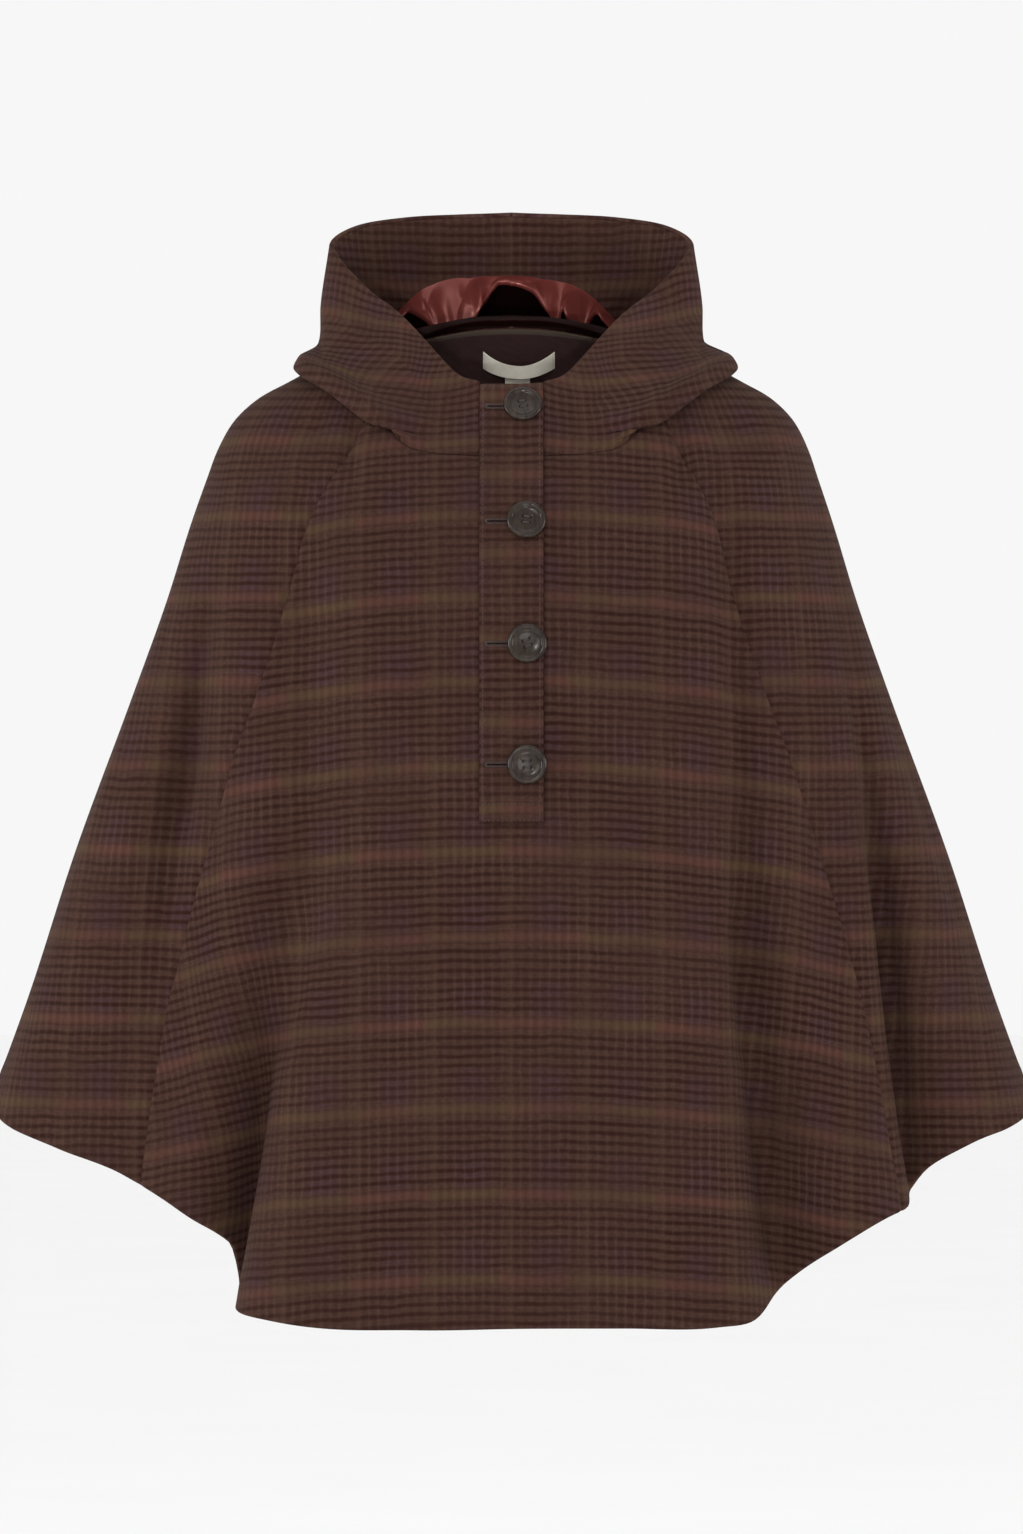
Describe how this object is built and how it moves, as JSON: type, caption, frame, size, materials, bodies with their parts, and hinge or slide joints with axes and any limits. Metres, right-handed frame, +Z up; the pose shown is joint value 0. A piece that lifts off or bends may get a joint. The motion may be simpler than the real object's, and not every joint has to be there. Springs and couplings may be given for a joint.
{
  "type": "hooded cape",
  "caption": "Hooded wool poncho cape with a buttoned half placket, raglan side panels and a dipping hem, hanging filled out with its hood laid back.",
  "frame": {"origin": "middle of the neck at the level of the shoulders, where the wearer or a stand holds the garment", "axes": "+Z up along the wearer, -Y towards the front, +X to the wearer's left"},
  "size_m": [0.7501, 0.3419, 0.7996],
  "materials": {
    "tweed": "brushed checked wool tweed",
    "satin": "rust satin",
    "brown_twill": "matt dark brown twill",
    "woven_label": "smooth woven tape",
    "horn_resin": "polished horn-effect resin"
  },
  "bodies": {
    "root": {"front_panel": "tweed", "side_front_left": "tweed", "side_front_right": "tweed", "side_back_left": "tweed", "side_back_right": "tweed", "back_panel": "tweed", "hood_left": "tweed", "hood_right": "tweed", "hood_facing": "tweed", "hood_lining": "satin", "neck_facing": "brown_twill", "label": "woven_label", "size_tab": "woven_label", "placket_over": "tweed", "placket_under": "tweed", "button_1": "horn_resin", "button_2": "horn_resin", "button_3": "horn_resin", "button_4": "horn_resin"}
  },
  "joints": []
}
